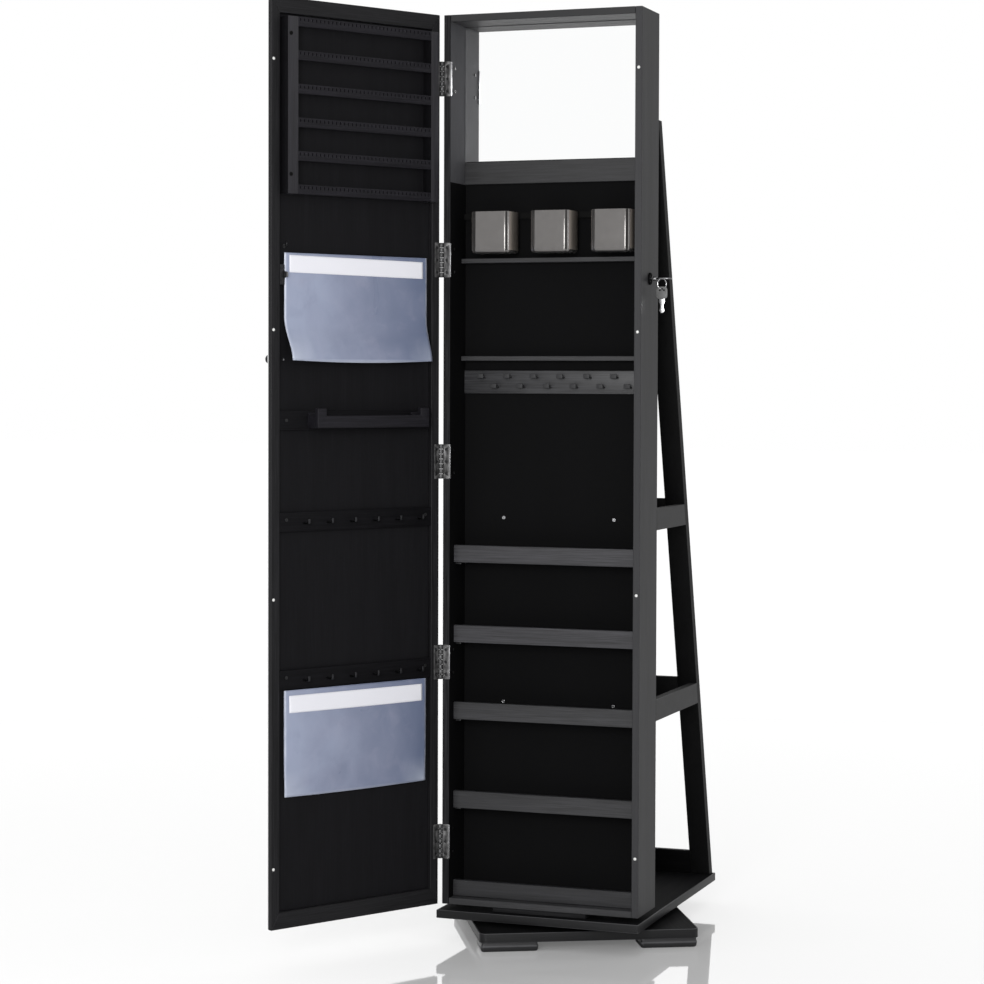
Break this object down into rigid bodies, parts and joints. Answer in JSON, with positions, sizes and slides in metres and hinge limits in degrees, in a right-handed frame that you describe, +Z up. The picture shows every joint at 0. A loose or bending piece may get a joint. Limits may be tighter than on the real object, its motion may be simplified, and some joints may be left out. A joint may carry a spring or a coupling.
{
  "type": "rotating jewelry armoire",
  "caption": "Tall narrow jewelry cabinet with a hinged full-length mirror door, hooks, cups and pouches inside, rear trays on leaning legs, turning on a square swivel base.",
  "frame": {"origin": "on the floor under the centre of the bounding box, door open as in the picture", "axes": "+Z up along the cabinet's height, -Y towards the front of the cabinet, +X to its right"},
  "size_m": [0.6383, 0.794, 1.6],
  "materials": {
    "foot": "black foot pad",
    "gunmetal": "gunmetal",
    "inside": "matt near-black wood grain board",
    "keyhead": "black plastic key head",
    "mesh": "translucent pale blue grey pouch cloth",
    "mirror": "clear glass mirror",
    "nickel": "nickel plated",
    "smoke": "smoky metallic plastic",
    "steel": "zinc plated steel",
    "wood": "satin near-black wood grain laminate"
  },
  "bodies": {
    "base": {"base_board": "wood", "base_foot_1": "foot", "base_foot_2": "foot", "base_foot_3": "foot", "base_foot_4": "foot", "bearing_ring": "steel"},
    "cabinet": {"back_panel": "inside", "bottom_board": "wood", "bottom_lip_rail": "wood", "cabinet_hinge_leaf_1": "gunmetal", "cabinet_hinge_leaf_2": "gunmetal", "cabinet_hinge_leaf_3": "gunmetal", "cabinet_hinge_leaf_4": "gunmetal", "cabinet_hinge_leaf_5": "gunmetal", "cabinet_spacer": "wood", "cup_rail": "gunmetal", "inner_mirror": "mirror", "left_panel": "wood", "leg_left": "wood", "leg_right": "wood", "lock_housing": "nickel", "mirror_rail": "wood", "necklace_hook_strip": "wood", "rear_bottom_rail": "wood", "rear_tray_1": "wood", "rear_tray_2": "wood", "right_panel": "wood", "shelf_1": "wood", "shelf_2": "wood", "shelf_3": "wood", "shelf_4": "wood", "top_board": "wood", "turntable_plate": "wood", "upper_ledge_1": "wood", "upper_ledge_2": "wood"},
    "door": {"bracelet_holder": "wood", "door_board": "inside", "door_hinge_leaf_1": "gunmetal", "door_hinge_leaf_2": "gunmetal", "door_hinge_leaf_3": "gunmetal", "door_hinge_leaf_4": "gunmetal", "door_hinge_leaf_5": "gunmetal", "door_hook_rail_1": "wood", "door_hook_rail_2": "wood", "door_knob": "gunmetal", "door_mirror": "mirror", "door_rail_bottom": "wood", "door_rail_top": "wood", "door_stile_free": "wood", "door_stile_hinge": "wood", "earring_rack": "wood", "lock_strike": "gunmetal", "pouch_1": "mesh", "pouch_2": "mesh"},
    "lock_plug": {"lock_plug_and_key": "nickel"},
    "key_ring": {"key_ring": "nickel"},
    "spare_key": {"spare_key": "keyhead"},
    "cup_1": {"cup_1": "smoke"},
    "cup_2": {"cup_2": "smoke"},
    "cup_3": {"cup_3": "smoke"}
  },
  "joints": [
    {"name": "turntable_swivel", "type": "hinge", "parent": "base", "child": "cabinet", "pos_m": [0.06542, 0.09639, 0], "axis": [0, 0, 1], "continuous": true},
    {"name": "door_hinge", "type": "hinge", "parent": "cabinet", "child": "door", "pos_m": [-0.11558, -0.08881, 0], "axis": [0, 0, -1], "range_deg": [-120, 50]},
    {"name": "lock_turn", "type": "hinge", "parent": "cabinet", "child": "lock_plug", "pos_m": [0.24292, -0.03758, 1.14596], "axis": [1, 0, 0], "range_deg": [0, 90]},
    {"name": "ring_swing", "type": "hinge", "parent": "lock_plug", "child": "key_ring", "pos_m": [0.26452, -0.03758, 1.14596], "axis": [1, 0, 0], "range_deg": [-15, 15]},
    {"name": "spare_key_swing", "type": "hinge", "parent": "key_ring", "child": "spare_key", "pos_m": [0.26452, -0.03758, 1.12796], "axis": [0, 1, 0], "range_deg": [-12, 12]},
    {"name": "cup_1_lift", "type": "slide", "parent": "cabinet", "child": "cup_1", "axis": [0, 0, 1], "range_m": [0, 0.035]},
    {"name": "cup_2_lift", "type": "slide", "parent": "cabinet", "child": "cup_2", "axis": [0, 0, 1], "range_m": [0, 0.035]},
    {"name": "cup_3_lift", "type": "slide", "parent": "cabinet", "child": "cup_3", "axis": [0, 0, 1], "range_m": [0, 0.035]}
  ]
}
